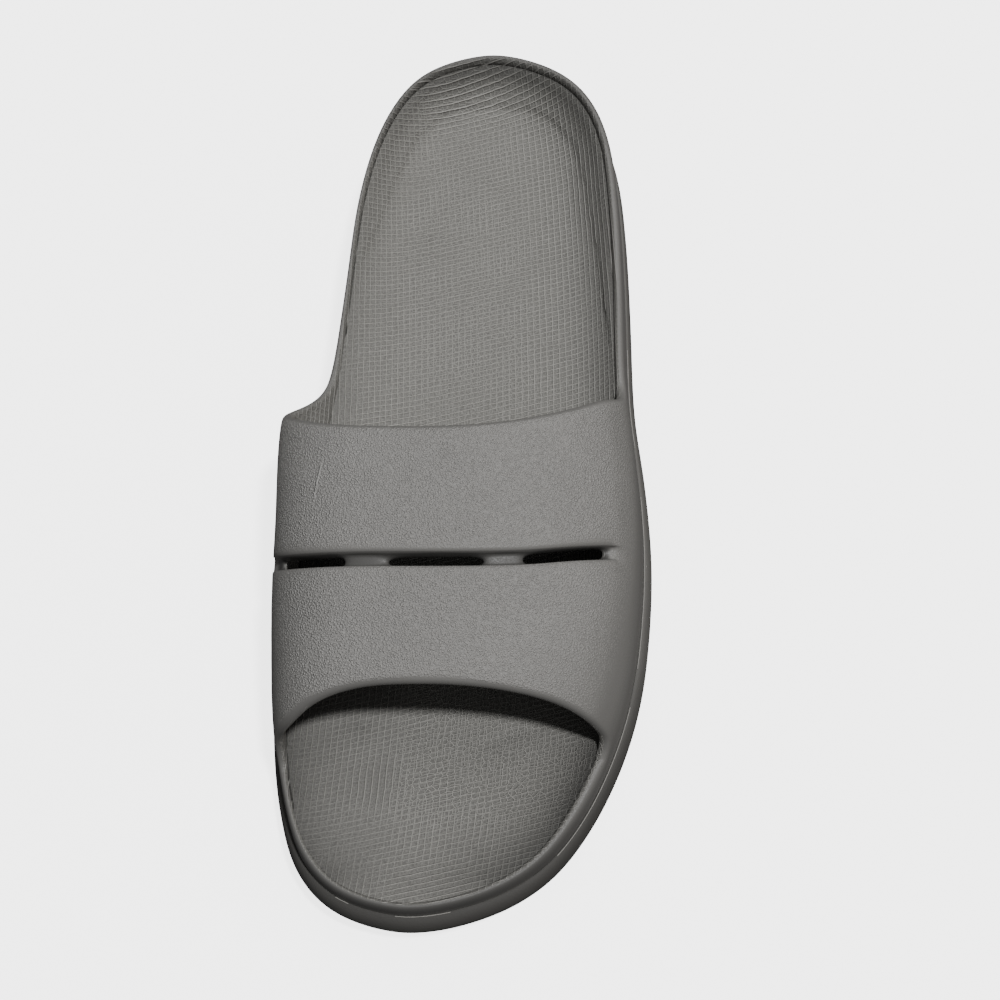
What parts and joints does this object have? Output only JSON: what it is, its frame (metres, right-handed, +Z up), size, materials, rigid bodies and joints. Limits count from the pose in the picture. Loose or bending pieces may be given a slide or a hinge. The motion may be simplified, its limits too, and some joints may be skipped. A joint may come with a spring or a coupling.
{
  "type": "slide sandal",
  "caption": "Slide sandal for the left foot in moulded foam: a wide slotted strap over the instep, a raised rim, a cupped textured footbed and a flared sole.",
  "frame": {"origin": "middle of the footprint's bounding box, on the floor", "axes": "+Y towards the heel and -Y towards the toe, +X towards the outer side of the foot, +Z up"},
  "size_m": [0.116, 0.286, 0.0711],
  "materials": {
    "upper": "matt moulded foam with a fine leather grain",
    "insole": "matt foam with a raised crossed-line texture",
    "sole": "smooth matt foam"
  },
  "bodies": {
    "root": {"upper": "upper", "insole": "insole", "sole": "sole"}
  },
  "joints": []
}
